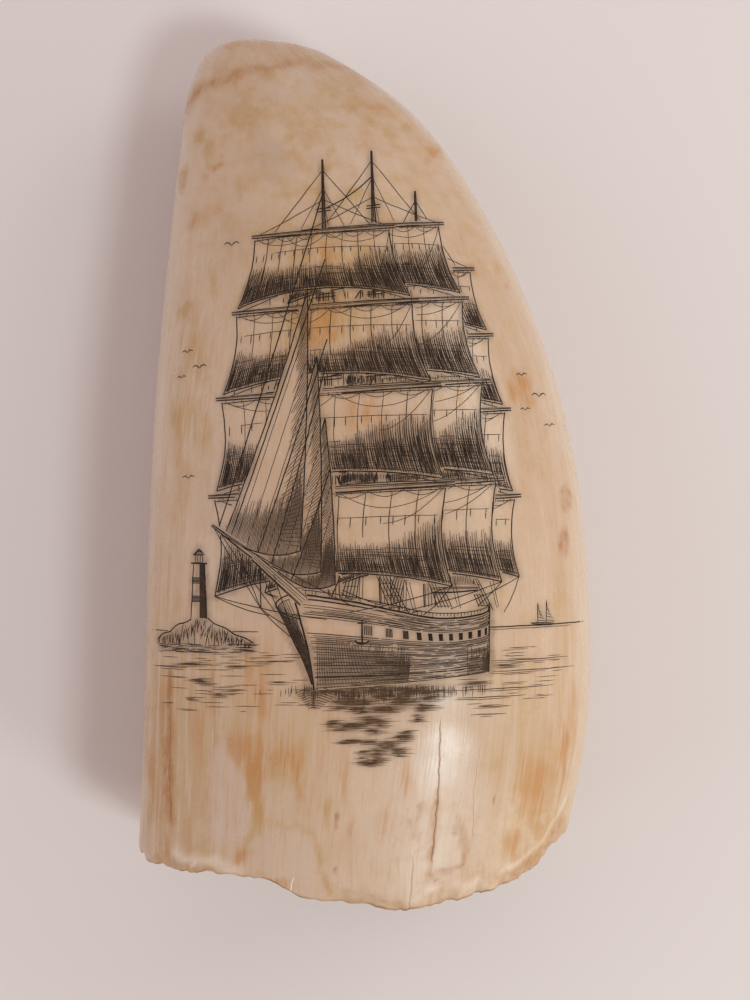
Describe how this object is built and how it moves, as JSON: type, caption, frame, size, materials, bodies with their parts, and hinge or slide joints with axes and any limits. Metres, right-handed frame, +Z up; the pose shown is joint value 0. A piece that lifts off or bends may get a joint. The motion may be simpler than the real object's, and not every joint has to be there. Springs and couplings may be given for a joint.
{
  "type": "scrimshaw whale tooth",
  "caption": "Sperm whale tooth lying on its side: oval in section, curved to a blunt tip, with a broken root rim, a hollow pulp cavity and an engraved upper face.",
  "frame": {"origin": "on the table, under the middle of the tooth's box", "axes": "+Y along the tooth from the broken root to the tip, +Z up, out of the engraved face, +X towards the outer side of the tooth's curve"},
  "size_m": [0.0719, 0.1362, 0.046],
  "materials": {
    "ivory": "polished, stained by age, semi-gloss",
    "engraving_ink": "lampblack rubbed into scratched lines, matt"
  },
  "bodies": {
    "root": {"tooth": "ivory"}
  },
  "joints": []
}
